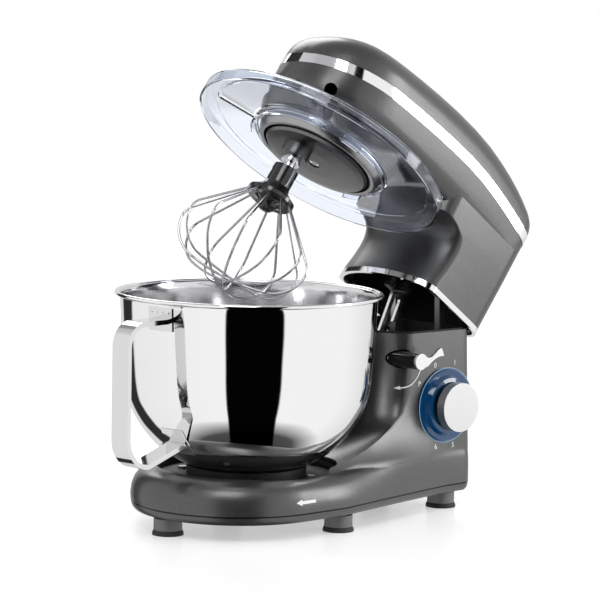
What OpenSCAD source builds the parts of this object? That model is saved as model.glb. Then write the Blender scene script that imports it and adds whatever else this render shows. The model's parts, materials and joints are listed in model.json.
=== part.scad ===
/* [Head and tilt] */
// Angle the head is raised to at rest, degrees
open_angle = 36.4; // [0:0.1:40]
// Distance of the head's hinge pin behind the bowl's centre line, mm
hinge_x = 200; // [190:0.5:206]
// Height of the head's hinge pin, mm
hinge_z = 142.5; // [135:0.5:150]
// Half of the head's width at the silver band, mm
head_half = 60; // [52:0.5:66]
// How far the head's nose reaches in front of the bowl's centre line, mm
nose_reach = 67.5; // [60:0.5:80]
// Height of the head's top with the head down, mm
head_top = 316.4; // [300:0.5:330]
// Wall of the plastic shells, mm
wall = 2.6; // [2:0.1:4]

/* [Base and column] */
// Radius of the rounded front of the foot, mm
foot_radius = 88.6; // [80:0.2:95]
// Height of the top of the column, mm
column_top = 158.9; // [150:0.1:170]
// Half of the column's width at its top, mm
column_half = 57.8; // [50:0.2:64]
// Height of the seam between the base shell and the plate under it, mm
seam_z = 22.2; // [18:0.2:28]
// Height of the flat part of the foot round the bowl, mm
deck_z = 50.5; // [44:0.5:56]
// Distance of the foot's rear behind the bowl's centre line, mm
foot_rear = 216; // [208:0.5:220]
// Radius of the vertical rear corners of the base, mm
rear_corner = 12; // [8:0.5:26]
// Radius of the pocket the bowl stands in, mm
pocket_radius = 77; // [70:0.5:84]

/* [Bowl] */
// Outer radius of the bowl at its rolled rim, mm
rim_radius = 114; // [100:0.5:125]
// Height of the bowl's rim, mm
rim_z = 198.5; // [180:0.5:210]
// Sheet thickness of the bowl, mm
bowl_sheet = 1; // [0.8:0.1:1.5]
// Angle of the handle round the bowl, degrees
handle_angle = -172.4; // [-200:0.2:-150]

/* [Drive] */
// Distance from the planet carrier's axis to the beater shaft, mm
orbit = 23; // [20:0.5:26]
// Teeth of the fixed ring gear
ring_teeth = 36; // [30:1:48]
// Teeth of the planet pinion on the beater shaft
planet_teeth = 13; // [10:1:18]
// Tooth module of the gears, mm
gear_module = 2; // [1.5:0.1:2.5]
// Teeth of the large gear on the carrier's shaft
main_teeth = 36; // [30:1:48]
// Teeth of the small gear on the lay shaft
lay_teeth = 10; // [8:1:14]
// Radius of the large belt pulley, mm
pulley_radius = 38; // [30:0.5:42]
// Radius of the belt pulley on the motor, mm
motor_pulley_radius = 9.5; // [8:0.5:14]
// Distance of the motor behind the bowl's centre line, mm
motor_x = 158; // [150:1:170]

/* [Whisk] */
// Largest radius of the whisk, mm
whisk_radius = 58; // [50:0.5:62]
// Radius of the whisk wire, mm
wire_radius = 1.1; // [0.8:0.1:1.5]
// Height of the whisk's lowest wire with the head down, mm
whisk_low = 54; // [52:0.5:65]

/* [Hidden] */
centre_x = 68.15;
neck_corner = 16;
knob_x = 178.5;
knob_z = 93.6;
lever_x = 130;
lever_z = 137;
stay_pin = [152.3, 170.1];
guide_pin = [141.7, 116.1];
stay_closed = atan2(stay_pin[1] - guide_pin[1], stay_pin[0] - guide_pin[0]);
stay_swing = 22.24;
lay_x = gear_module * (main_teeth + lay_teeth) / 2;
foot_spots = [[-85, 0], [41, 72], [41, -72], [192, 42], [192, -42]];
plate_spots = [[-60, 0], [20, 62], [20, -62], [120, 55], [120, -55], [186, 0]];
$fn = 64;

// ---------- placing ----------
module at_base() { translate([-centre_x, 0, 0]) children(); }
module at_head() {
  at_base() translate([hinge_x, 0, hinge_z]) rotate([0, open_angle, 0])
    translate([-hinge_x, 0, -hinge_z]) children();
}
module at_beater() { at_head() translate([-orbit, 0, 0]) children(); }
module at_knob() { at_base() translate([knob_x, 0, knob_z]) rotate([90, 0, 0]) children(); }
module at_handle() { at_base() rotate([0, 0, handle_angle]) children(); }

// A closed skin through rings of points that all have the same count.
module skin(rings) {
  n = len(rings[0]);
  m = len(rings);
  points = [for (r = rings) for (p = r) p];
  sides = [for (i = [0:m - 2]) for (j = [0:n - 1])
    [i * n + j, i * n + (j + 1) % n, (i + 1) * n + (j + 1) % n, (i + 1) * n + j]];
  first = [[for (j = [n - 1:-1:0]) j]];
  last = [[for (j = [0:n - 1]) (m - 1) * n + j]];
  polyhedron(points = points, faces = concat(sides, first, last), convexity = 8);
}

// A ring with a round inner edge, turned about Z.
module tube(outer, inner, low, high) {
  translate([0, 0, low]) difference() {
    cylinder(r = outer, h = high - low);
    translate([0, 0, -1]) cylinder(r = inner, h = high - low + 2);
  }
}

module rod(radius, low, high) { translate([0, 0, low]) cylinder(r = radius, h = high - low); }

// A rod along Y.
module cross_rod(x, z, radius, from, to) {
  translate([x, to, z]) rotate([90, 0, 0]) cylinder(r = radius, h = to - from);
}

// ---------- plan outlines ----------
// Half width of the foot at x behind its round front.
function foot_half(x) = foot_radius - 0.6 * min(1, max(x, 0) / 40)
  - 29 * pow(max(0, min(x, 186) - 40) / 146, 0.9);
// How much of the foot's top rounding is left at x, where the column rises from it.
function crown_left(x) = let (t = min(1, max(0, (x - 20) / 85))) 0.06 + 0.94 * (1 - t * t * (3 - 2 * t));
// The foot's outline drawn in by g and by its top rounding; from the front centre round +Y to the rear.
function foot_side(g, crown = 0) = concat(
  [for (i = [0:11]) let (a = 180 - 90 * i / 12, r = foot_radius - g - crown) [-12 + r * cos(a), r * sin(a)]],
  [for (i = [0:9]) let (x = -12 + (foot_rear - rear_corner + 12) * i / 9)
    [x, foot_half(x) - g - crown * crown_left(x)]],
  [for (i = [1:5]) let (a = 90 - 18 * i, r = rear_corner - g - crown * 0.06)
    [foot_rear - rear_corner + r * cos(a), foot_half(186) - rear_corner + r * sin(a)]]);
// Front surface of the column, a share b of the way from the bowl's round to its own bow.
function column_side(z, g) = let (
  s = (z - deck_z - 1.5) / (column_top - deck_z - 1.5),
  b = pow(min(1, s * 2.6), 0.7),
  flare = pow(max(0, 1 - s * 1.55), 3.2),
  reach = 78 + 36.5 * pow(min(1, s * 1.75), 0.62) + g,
  half = column_half,
  ex = reach + 24 * b - 58 * pow(1 - b, 1.5),
  deck = 18.5,
  ey = half + (foot_half(ex) - deck * crown_left(ex) - half) * flare - g,
  rear = foot_rear - 5 * s)
  concat(
    [for (i = [0:11])
      let (t = 90 * i / 12, a = t * atan2(ey, ex) / 90, q = reach + (norm([ex, ey]) - reach) * i / 12)
      [(1 - b) * q * cos(a) + b * (reach + (ex - reach) * (1 - cos(t))),
        (1 - b) * q * sin(a) + b * ey * sin(t)]],
    [for (i = [0:9]) let (x = ex + (rear - rear_corner - ex) * i / 9)
      [x, half + (foot_half(x) - deck * crown_left(x) - half) * flare - g]],
    [for (i = [1:5]) let (a = 90 - 18 * i, y = half + (foot_half(186) - 1.1 - half) * flare)
      [rear - rear_corner + (rear_corner - g) * cos(a), y - rear_corner + (rear_corner - g) * sin(a)]]);
function mirrored(side) = concat(side, [for (i = [len(side) - 1:-1:1]) [side[i][0], -side[i][1]]]);
function lift(plan, z) = [for (p = plan) [p[0], p[1], z]];

function foot_rings(g) = [
  for (s = [[seam_z, 0], [seam_z + 6, -0.3], [seam_z + 13, 0.6], [seam_z + 19, 3], [seam_z + 23.5, 6.6],
    [seam_z + 26.6, 11.5], [deck_z, 18.5]])
  lift(mirrored(foot_side(g, s[1])), s[0] - g)];
function column_rings(g, top) = [for (s = [0, 0.03, 0.07, 0.12, 0.18, 0.26, 0.36, 0.5, 0.7, 1])
  let (z = deck_z + 1.5 + s * (column_top - deck_z - 1.5))
  lift(mirrored(column_side(z, g)), s < 1 ? z - g * pow(1 - s, 4) : z + top)];

module base_shell() color([0.25, 0.25, 0.26]) at_base() difference() {
  union() {
    difference() {
      skin(concat(foot_rings(0), column_rings(0, 0)));
      skin(concat([lift(mirrored(foot_side(wall)), seam_z - 5)], foot_rings(wall), column_rings(wall, 2)));
    }
    rod(pocket_radius + wall, deck_z - 12, deck_z - 2);
    for (p = foot_spots) translate([p[0], p[1], 0]) rod(5, seam_z + 0.2, p[0] < 100 ? 47 : 36);
    for (p = plate_spots) translate([p[0], p[1], 0]) rod(4.5, seam_z + 0.2, 39.4);
    for (s = [-1, 1]) {
      translate([190.5, s * 49.5 - 7.5, seam_z + 0.2]) cube([3, 15, 11.6]);
      translate([118.5, s * 62 - 7.6, seam_z + 0.2]) cube([3, 15.2, 11.6]);
    }
    translate([186, -1.5, seam_z + 0.2]) cube([28.6, 3, 5.6]);
  }
  rod(pocket_radius, deck_z - 9.5, deck_z + 14);
  translate([0, 0, deck_z + 12]) cylinder(r1 = pocket_radius, r2 = 84, h = 12);
  for (p = plate_spots) translate([p[0], p[1], 0]) cylinder(r = 1.6, h = seam_z + 10);
  for (a = [30:90:300]) rotate([0, 0, a]) translate([58, 0, 20]) cylinder(r = 1.7, h = 40);
  cross_rod(lever_x, lever_z, 8.6, -70, -30);
  cross_rod(knob_x, knob_z, 24, -70, -40);
  cross_rod(knob_x, knob_z, 33.3, -70, -column_half - 0.1);
  translate([199, 0, 36]) rotate([0, 90, 0]) cylinder(r = 7.1, h = 30);
}

module base_plate() color([0.22, 0.22, 0.23]) at_base() difference() {
  skin([lift(mirrored(foot_side(7)), seam_z - 8), lift(mirrored(foot_side(3.2)), seam_z - 7.2),
    lift(mirrored(foot_side(1.2)), seam_z - 5), lift(mirrored(foot_side(0.4)), seam_z - 2.4),
    lift(mirrored(foot_side(0.3)), seam_z - 0.3)]);
  skin([lift(mirrored(foot_side(9.5)), seam_z - 5.4), lift(mirrored(foot_side(3.4)), seam_z - 4.4),
    lift(mirrored(foot_side(3.2)), seam_z + 2)]);
  for (p = foot_spots) translate([p[0], p[1], 0]) cylinder(r = 3.2, h = 40);
  for (p = plate_spots) translate([p[0], p[1], 0]) cylinder(r = 1.9, h = 40);
  for (i = [-4:4]) translate([150, i * 9 - 1.6, 5]) cube([30, 3.2, 30]);
}

module foot_stems() color([0.3, 0.3, 0.31]) at_base() for (p = foot_spots) translate([p[0], p[1], 0]) {
  tube(12, 3.1, 4, 12.2);
  tube(12, 1.6, 12.2, seam_z - 8.1);
  tube(3.1, 1.6, seam_z - 8.1, seam_z + 0.1);
}

module suction_feet() color([0.03, 0.03, 0.03]) at_base() for (p = foot_spots) translate([p[0], p[1], 0])
  rotate_extrude() polygon([[0, 2.2], [5, 2], [9, 1.2], [11.6, 0], [13.2, 0], [13.2, 1.6], [12.2, 3.95],
    [3, 3.95], [3, 8], [0, 8]]);

module base_screws() color([0.6, 0.6, 0.6]) at_base() {
  for (p = plate_spots) translate([p[0], p[1], 0]) {
    rod(3.4, seam_z - 10.2, seam_z - 8.05);
    rod(1.55, seam_z - 8.05, seam_z + 9);
  }
  for (a = [30:90:300]) rotate([0, 0, a]) translate([58, 0, 0]) {
    rod(3.4, deck_z - 7.45, deck_z - 5.4);
    rod(1.6, deck_z - 12.5, deck_z - 7.45);
  }
}

module bowl_seat() color([0.05, 0.05, 0.05]) at_base() difference() {
  union() {
    rotate_extrude() polygon([[30, deck_z - 9.4], [74, deck_z - 9.4], [74, deck_z - 7.5], [51, deck_z - 7.5],
      [51, deck_z + 0.5], [48, deck_z + 0.5], [48, deck_z - 7.5], [30, deck_z - 7.5]]);
    for (a = [17:120:257]) rotate([0, 0, a]) rotate_extrude(angle = 86)
      translate([42.8, deck_z - 2.2]) square([6.4, 2.4]);
  }
  for (a = [30:90:300]) rotate([0, 0, a]) translate([58, 0, 20]) cylinder(r = 1.7, h = 40);
}

function neck_side(front, half, rear, g, corner = neck_corner) = concat(
  [for (i = [0:11]) let (t = 90 * i / 12) [front + g + 24 * (1 - cos(t)), (half - g) * sin(t)]],
  [for (i = [0:3]) [front + 24 + (rear - 24 - corner - front) * i / 3, half - g]],
  [for (i = [1:5]) let (a = 90 - 18 * i, r = corner - g)
    [rear - corner + r * cos(a), half - corner + r * sin(a)]]);

module column_liner() color([0.02, 0.02, 0.02]) at_base() difference() {
  translate([0, 0, column_top - 24]) linear_extrude(25.1)
    polygon(mirrored(neck_side(114.5, column_half, foot_rear - 5, 2.9, rear_corner)));
  translate([0, 0, column_top - 30]) linear_extrude(40)
    polygon(mirrored(neck_side(114.5, column_half, foot_rear - 5, 5, rear_corner)));
  cross_rod(lever_x, lever_z, 8.6, -70, -30);
  translate([190, -41, 120]) cube([30, 82, 60]);
}

module hinge_brackets() color([0.6, 0.6, 0.62]) at_base() difference() {
  union() {
    for (s = [-1, 1]) {
      translate([hinge_x - 4.6, s * 34 - 2, 112]) cube([9.2, 4, hinge_z - 112]);
      cross_rod(hinge_x, hinge_z, 4.6, s * 34 - 2, s * 34 + 2);
      translate([hinge_x - 30, s * 34 - 2, 112]) cube([34, 4, 12]);
    }
    translate([hinge_x - 30, -36, 112]) cube([34, 72, 3]);
    translate([hinge_x - 30, -55, 112]) cube([14, 110, 3]);
  }
  cross_rod(hinge_x, hinge_z, 2.5, -40, 40);
}

module hinge_pin() color([0.7, 0.7, 0.72]) at_base() {
  cross_rod(hinge_x, hinge_z, 2.5, -36.1, 36.1);
  for (s = [-1, 1]) cross_rod(hinge_x, hinge_z, 4.2, s * 37 - 1, s * 37 + 1);
}

module guide_pin() color([0.7, 0.7, 0.72]) at_base() {
  cross_rod(guide_pin[0], guide_pin[1], 2.5, -55.1, 55.1);
  for (s = [-1, 1]) cross_rod(guide_pin[0], guide_pin[1], 5, s * 4 - 1, s * 4 + 1);
}

module lever_spring() color([0.75, 0.75, 0.76]) at_base() for (i = [0:3])
  translate([lever_x, -40.5 + i * 2.6, lever_z]) rotate([90, 0, 0])
    rotate_extrude() translate([5.2, 0]) circle(r = 0.7, $fn = 24);

module lever_barrel() color([0.03, 0.03, 0.03]) at_base() {
  cross_rod(lever_x, lever_z, 7.2, -74.5, -43);
  cross_rod(lever_x, lever_z, 3.5, -43, -18);
}

module lever_cap() color([0.85, 0.85, 0.86]) at_base() translate([lever_x, -74.5, lever_z]) rotate([90, 0, 0])
  linear_extrude(2.4) {
    circle(r = 7);
    polygon([[4.6, 5.2], [6.8, 3.4], [9.4, 2.8], [12.4, 3.4], [16, 5.6], [20, 9], [23.6, 10.6], [25.4, 8],
      [27, 3.4], [22.6, 3.4], [18.4, 2.4], [14.4, 0.4], [10.6, -2.2], [7.6, -4.6], [5, -5]]);
  }

module latch_hook() color([0.65, 0.65, 0.66]) at_base() translate([lever_x, -20, lever_z]) rotate([90, 0, 0])
  linear_extrude(3) difference() {
    union() {
      circle(r = 6.5);
      polygon([[-3, -4], [4, -5], [9, 2], [19, 14], [20, 28.5], [14.2, 28.5], [12.6, 24.5], [13.6, 21],
        [10.5, 15.5], [-2, 6]]);
    }
    circle(r = 3.5);
  }

module knob_bezel() color([0.1, 0.35, 0.62]) at_knob() rotate_extrude()
  polygon([[16.4, column_half + 0.2], [33, column_half + 0.2], [33, column_half + 1.6],
    [30.6, column_half + 3.4],
    [27, column_half + 3.2], [24.4, column_half + 6.6], [21, column_half + 7.4], [16.4, column_half + 5]]);

module knob_body() color([0.05, 0.05, 0.05]) at_knob() {
  rod(15.8, column_half + 1, column_half + 12);
  rod(20.6, column_half + 12, column_half + 19);
  rod(3, column_half - 16, column_half + 1);
}

module knob_cap() color([0.9, 0.9, 0.9]) at_knob() difference() {
  rod(21.4, column_half + 12, column_half + 20.6);
  rod(20.6, column_half + 11, column_half + 19);
}

module speed_switch() color([0.1, 0.1, 0.1]) at_knob() difference() {
  union() {
    translate([-14, -14, column_half - 26]) cube([28, 28, 14]);
    rod(5.5, column_half - 12, column_half - 4);
  }
  rod(3.05, column_half - 17, column_half + 2);
}

module control_board() color([0.1, 0.3, 0.12]) at_base() {
  translate([150, -30, 52]) cube([46, 60, 1.6]);
  for (p = [[154, -22, 12, 14], [176, -10, 9, 9], [158, 6, 16, 12]])
    translate([p[0], p[1], 53.6]) cube([p[2], p[3], 10]);
}

module cord_gland() color([0.04, 0.04, 0.04]) at_base() translate([0, 0, 36]) rotate([0, 90, 0]) {
  tube(7, 3.6, foot_rear - 14, foot_rear + 8);
  tube(9.6, 7, foot_rear + 0.6, foot_rear + 3.5);
}

// ---------- bowl ----------
function bowl_wall(d) = [[46, deck_z + 0.8 + d], [52, deck_z + 2.4 + d], [60 - d / 2, deck_z + 6 + d],
  [68 - d / 2, deck_z + 10.6 + d], [76 - d, deck_z + 17 + d / 2], [84 - d, deck_z + 25.4 + d / 3],
  [91 - d, deck_z + 34.5], [96 - d, deck_z + 43], [100 - d, deck_z + 52], [102.6 - d, deck_z + 61],
  [104.5 - d, deck_z + 74], [106 - d, deck_z + 92], [107.4 - d, deck_z + 112], [109 - d, rim_z - 6],
  [110.6 - d, rim_z - 2.5]];
module bowl_shell() color([0.8, 0.8, 0.81]) at_base() rotate_extrude($fn = 96) {
  polygon(concat([[0, deck_z + 0.8]], bowl_wall(0), [for (i = [14:-1:0]) bowl_wall(bowl_sheet)[i]],
    [[0, deck_z + 0.8 + bowl_sheet]]));
  translate([rim_radius - 2.1, rim_z - 1.9]) circle(r = 1.9, $fn = 32);
}

module bowl_foot() color([0.75, 0.75, 0.76]) at_base() {
  tube(40, 38.4, deck_z - 7.3, deck_z + 0.8);
  for (a = [0:120:240]) rotate([0, 0, a]) rotate([0, 0, -13]) rotate_extrude(angle = 26)
    translate([39.9, deck_z - 6.2]) square([6.6, 2.8]);
}

// Side view of the handle strap, drawn out by d on each face.
module strap(d) {
  t = 2 + d;
  translate([108.6, 181 - t]) square([26.4, 2 * t]);
  translate([135, 163]) difference() {
    intersection() {
      circle(r = 18 + t);
      square([40, 40]);
    }
    circle(r = 18 - t);
  }
  translate([153 - t, 88]) square([2 * t, 75]);
  translate([129, 88]) difference() {
    intersection() {
      circle(r = 24 + t);
      translate([0, -40]) square([40, 40]);
    }
    circle(r = 24 - t);
  }
  translate([129, 64]) rotate([0, 0, 163]) translate([0, -t]) square([49, 2 * t]);
  translate([129, 64]) circle(r = t);
}
module bowl_handle() color([0.8, 0.8, 0.81]) at_handle() difference() {
  rotate([90, 0, 0]) translate([0, 0, -9]) linear_extrude(18) strap(0);
  difference() {
    rotate([90, 0, 0]) translate([0, 0, -7.6]) linear_extrude(15.2) strap(-0.9);
    rod(112, 150, 200);
    rod(101, 60, 150);
  }
  translate([0, 0, deck_z - 6]) rotate_extrude($fn = 96) translate([0, 6 - deck_z])
    polygon(concat([[0, deck_z]], bowl_wall(-1.3), [[0, 200]]));
}

module handle_plates() color([0.78, 0.78, 0.79]) at_handle() {
  intersection() {
    rotate_extrude($fn = 96) polygon(concat(bowl_wall(-0.05), [for (i = [14:-1:0]) bowl_wall(-1.2)[i]]));
    union() {
      translate([95, -13, 173]) cube([20, 26, 19]);
      translate([70, -12, 68]) cube([30, 24, 22]);
    }
  }
  for (y = [-9, -3, 3, 9]) translate([109.4, y, 188]) rotate([0, 90, 0]) cylinder(r = 1, h = 1, $fn = 24);
}

module stay_arm() color([0.72, 0.72, 0.73]) at_head() translate([stay_pin[0], 1.5, stay_pin[1]])
  rotate([0, -180 - stay_closed - stay_swing, 0]) rotate([90, 0, 0]) linear_extrude(3) difference() {
    union() {
      circle(r = 8);
      translate([0, -8]) square([94, 16]);
      translate([94, 0]) circle(r = 8);
    }
    circle(r = 3.05);
    translate([14, 0]) circle(r = 3.6);
    translate([14, -3.6]) square([72, 7.2]);
    translate([86, 0]) circle(r = 3.6);
  }

// ---------- head ----------
function share(v) = min(1, max(0, v));
function half_at(x) = let (a = share((67 - nose_reach - x) / 67), b = share((x - 213 + neck_corner) / neck_corner))
  head_half * pow(1 - pow(a, 2.22), 0.45) - neck_corner * (1 - sqrt(1 - b * b));
function band_at(x) = head_top - 37
  - (x < 110 ? 15.5 * pow((110 - x) / 178, 1.7) : 16.5 * pow((x - 110) / 105, 1.6));
function top_at(x) = head_top - (x < 95 ? 18.8 * pow((95 - x) / 155, 1.6) : 30 * pow((x - 95) / 120, 2.4));
stations = [0.3, 1.2, 2.8, 5, 8, 12, 17, 23, 30, 38, 48, 60, 75, 95, 120, 145, 170, 195, 215, 230, 243,
  253, 262, 267, 270, 273, 276, 278, 279.5, 280.4];
function station_x(i, g) = -nose_reach + g + stations[i] * (280.5 - 2 * g) / 280.5;
function upper_ring(x, g) = let (
  a = share((45.6 - nose_reach - x) / 45.6), c = share((x - 187) / 26),
  w = max(0.5, half_at(x) - g), z = band_at(x),
  h = max(0.4, (top_at(x) - z) * pow(1 - pow(a, 2.2), 0.4545) * (0.5 + 0.5 * sqrt(1 - c * c)) - g))
  concat([for (k = [0:20]) let (t = 180 - 9 * k)
      [x, w * sign(cos(t)) * pow(abs(cos(t)), 0.75), z + h * pow(max(0, sin(t)), 0.75)]],
    g > 0 ? [[x, w, z - 4], [x, -w, z - 4]] : []);
function lower_ring(x, g, up) = let (
  a = share((20 - nose_reach - x) / 20), w = max(0.5, half_at(x) - g), z = band_at(x) - 9.3,
  h = max(0.4, (z - 224.4) * (0.15 + 0.85 * pow(1 - pow(a, 2.5), 0.4)) - g))
  concat([for (k = [0:20]) let (t = 360 - 9 * k)
      [x, w * sign(cos(t)) * pow(abs(cos(t)), 0.5), z - h * pow(max(0, -sin(t)), 0.5)]],
    up > 0 ? [[x, -w, z + up], [x, w, z + up]] : []);
function front_at(z) = lookup(z, [[165.4, 114.8], [172, 115.6], [182, 117.6], [194, 119], [203, 119],
  [209, 117.6], [214, 115.4], [218, 111.5], [222, 103], [225, 92], [245, 92]]);
function neck_rings(g, levels) = [for (z = levels)
  lift(mirrored(neck_side(front_at(z), 58.8 + min(1, (z - 160) / 60) * 1.1, 213, g)), z)];
neck_levels = [165.4, 172, 182, 194, 203, 209, 214, 218, 222, 225, 245];

module head_lower_shell() color([0.25, 0.25, 0.26]) at_head() difference() {
  union() {
    skin([for (i = [0:len(stations) - 1]) lower_ring(station_x(i, 0), 0, 0)]);
    skin(neck_rings(0, neck_levels));
    translate([0, 0, 213.4]) cylinder(r1 = 61.6, r2 = 66, h = 14);
  }
  skin([for (i = [0:len(stations) - 1]) lower_ring(station_x(i, wall), wall, 6)]);
  skin(neck_rings(wall, [160, 172, 182, 194, 203, 209, 214, 218, 222, 225, 250]));
  rod(59.1, 200, 226.6);
  rod(50, 226, 227.6);
  for (y = [44, -44]) translate([6, y, 0]) rod(4.9, 226, 240);
  translate([lay_x, 0, 0]) rod(8.6, 226, 234);
  translate([-54, -39.4, 237.8]) rotate([0, -90, 36]) cylinder(r = 5.6, h = 20, center = true);
  translate([-67, -9.4, 232]) rotate([0, -90, 8]) cylinder(r = 5.2, h = 20, center = true);
}

module head_upper_shell() color([0.25, 0.25, 0.26]) at_head() difference() {
  skin([for (i = [0:len(stations) - 1]) upper_ring(station_x(i, 0), 0)]);
  skin([for (i = [0:len(stations) - 1]) upper_ring(station_x(i, wall), wall)]);
}

function band_ring(x, g, low, high) = let (w = max(0.5, half_at(x) + 0.35 - g), z = band_at(x))
  [[x, w, z - low], [x, -w, z - low], [x, -w, z - high], [x, w, z - high]];
module head_band() color([0.9, 0.9, 0.91]) at_head() difference() {
  skin([for (i = [0:len(stations) - 1]) let (out = i == 0 ? -0.5 : i == len(stations) - 1 ? 0.5 : 0)
    band_ring(station_x(i, 0) + out, 0, 9.25, 0.05)]);
  skin([for (i = [0:len(stations) - 1]) band_ring(station_x(i, wall), wall + 0.35, 14, -4)]);
}

module neck_trim() color([0.9, 0.9, 0.91]) at_head() difference() {
  translate([0, 0, 160.3]) linear_extrude(5) polygon(mirrored(neck_side(114.5, 59.2, 213.3, 0)));
  translate([0, 0, 150]) linear_extrude(30) polygon(mirrored(neck_side(114.5, 59.2, 213.3, 3)));
}

module neck_liner() color([0.02, 0.02, 0.02]) at_head() difference() {
  translate([0, 0, 167]) linear_extrude(33) polygon(mirrored(neck_side(119, 59, 213, 2.95)));
  translate([0, 0, 160]) linear_extrude(37.4) polygon(mirrored(neck_side(119, 59, 213, 5)));
}

module hinge_arms() color([0.6, 0.6, 0.62]) at_head() difference() {
  union() {
    for (s = [-1, 1]) {
      cross_rod(hinge_x, hinge_z, 4.6, s * 28 - 3, s * 28 + 3);
      translate([hinge_x, s * 28 - 3, hinge_z]) rotate([0, -128, 0]) translate([0, 0, -3.5]) cube([44, 6, 7]);
      translate([160, s * 28 - 3, 174]) cube([20, 6, 23.3]);
    }
    translate([160, -31, 190]) cube([20, 62, 7.3]);
  }
  cross_rod(hinge_x, hinge_z, 2.55, -40, 40);
}

module striker_bar() color([0.7, 0.7, 0.72]) at_head() {
  cross_rod(138, 157, 2.5, -28, -12);
  for (y = [-29, -13]) translate([136, y, 157]) cube([4, 2, 40.3]);
}

module stay_pivot() color([0.7, 0.7, 0.72]) at_head() {
  cross_rod(stay_pin[0], stay_pin[1], 3, -6, 6);
  for (s = [-1, 1]) translate([stay_pin[0] - 4, s * 5 - 1.5, stay_pin[1] - 4]) cube([8, 3, 31.2]);
}

module planet_collar() color([0.5, 0.5, 0.5]) at_head() rotate_extrude($fn = 96)
  polygon([[54.4, 200.9], [56.6, 203.6], [59, 211], [59, 226], [56.6, 226], [56.6, 212], [54.4, 207.5],
    [51.2, 204], [51.2, 200.9]]);

function gear_points(n, tip, root, tip_share, root_share) = [for (i = [0:n - 1])
  for (q = [[root, -root_share], [tip, -tip_share], [tip, tip_share], [root, root_share]])
  let (a = 360 * (i + q[1]) / n) [q[0] * cos(a), q[0] * sin(a)]];
module spur(n, low, high, bore) {
  r = gear_module * n / 2;
  translate([0, 0, low]) linear_extrude(high - low) difference() {
    polygon(gear_points(n, r + 0.75 * gear_module, r - 1.05 * gear_module, 0.09, 0.2));
    circle(r = bore);
  }
}

module gear_housing() color([0.62, 0.62, 0.63]) at_head() difference() {
  union() {
    rod(56.4, 220, 224);
    tube(45, 42.1, 209, 220.1);
    rod(12, 224, 233.8);
    translate([lay_x, 0, 0]) rod(8, 224, 232);
    for (s = [-1, 1]) translate([6, s * 44, 0]) rod(4.5, 224, 252);
  }
  rod(6.05, 200, 240);
  translate([lay_x, 0, 0]) rod(4.05, 225, 240);
}

module ring_gear() color([0.85, 0.84, 0.78]) at_head() translate([0, 0, 209.5]) linear_extrude(8)
  difference() {
    circle(r = 42);
    polygon(gear_points(ring_teeth, 38.2, 34.6, 0.29, 0.4));
  }

module motor_frame() color([0.55, 0.55, 0.56]) at_head() difference() {
  union() {
    translate([motor_x, 0, 0]) rod(36, 252, 255);
    translate([0, -18, 252]) cube([motor_x, 36, 3]);
    translate([0, -49, 252]) cube([12, 98, 3]);
    translate([lay_x, 0, 0]) rod(9, 252, 257.5);
    for (a = [45:90:315]) translate([motor_x, 0, 0]) rotate([0, 0, a]) translate([30, 0, 0]) rod(3, 206, 252);
    translate([motor_x, 0, 0]) tube(33, 27, 203, 206);
    translate([motor_x - 30, -5, 203]) cube([60, 10, 3]);
  }
  translate([motor_x, 0, 0]) rod(4.05, 190, 270);
  translate([lay_x, 0, 0]) rod(4.05, 190, 270);
  rod(8, 240, 260);
}

module motor_stator() color([0.4, 0.4, 0.42]) at_head() translate([motor_x, 0, 214]) difference() {
  linear_extrude(30) difference() {
    polygon([for (a = [22.5:45:340]) [31 * cos(a), 31 * sin(a)]]);
    circle(r = 18.5);
    for (a = [0, 180]) rotate([0, 0, a]) translate([16, -10]) square([8, 20]);
  }
  for (a = [45:90:315]) rotate([0, 0, a]) translate([30, 0, -1]) cylinder(r = 3.1, h = 40);
}

module motor_coils() color([0.72, 0.4, 0.18]) at_head() translate([motor_x, 0, 0])
  for (a = [0, 180]) rotate([0, 0, a]) difference() {
    translate([19, -9.6, 209]) cube([4.6, 19.2, 38.6]);
    translate([17, -3, 215]) cube([9, 6, 27]);
  }

module motor_brushes() color([0.25, 0.22, 0.2]) at_head() translate([motor_x, 0, 0])
  for (a = [90, 270]) rotate([0, 0, a]) translate([10.4, -3, 206]) cube([19.6, 6, 5.8]);

module drive_belt() color([0.04, 0.04, 0.04]) at_head() {
  gap = 0.4;
  thick = 1.8;
  span = motor_x - lay_x;
  lean = asin((pulley_radius - motor_pulley_radius) / span);
  translate([lay_x, 0, 260.5]) {
    rotate([0, 0, 90 - lean]) rotate_extrude(angle = 180 + 2 * lean)
      translate([pulley_radius + gap, 0]) square([thick, 8]);
    translate([span, 0, 0]) rotate([0, 0, lean - 90]) rotate_extrude(angle = 180 - 2 * lean)
      translate([motor_pulley_radius + gap, 0]) square([thick, 8]);
    rotate([0, 0, -lean]) translate([0, pulley_radius + gap, 0]) cube([span * cos(lean), thick, 8]);
    rotate([0, 0, lean]) translate([0, -pulley_radius - gap - thick, 0]) cube([span * cos(lean), thick, 8]);
  }
}

module shell_screws() color([0.6, 0.6, 0.6]) at_head() for (y = [44, -44])
  translate([6, y, 0]) rod(3.2, 255.05, 257.5);

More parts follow.
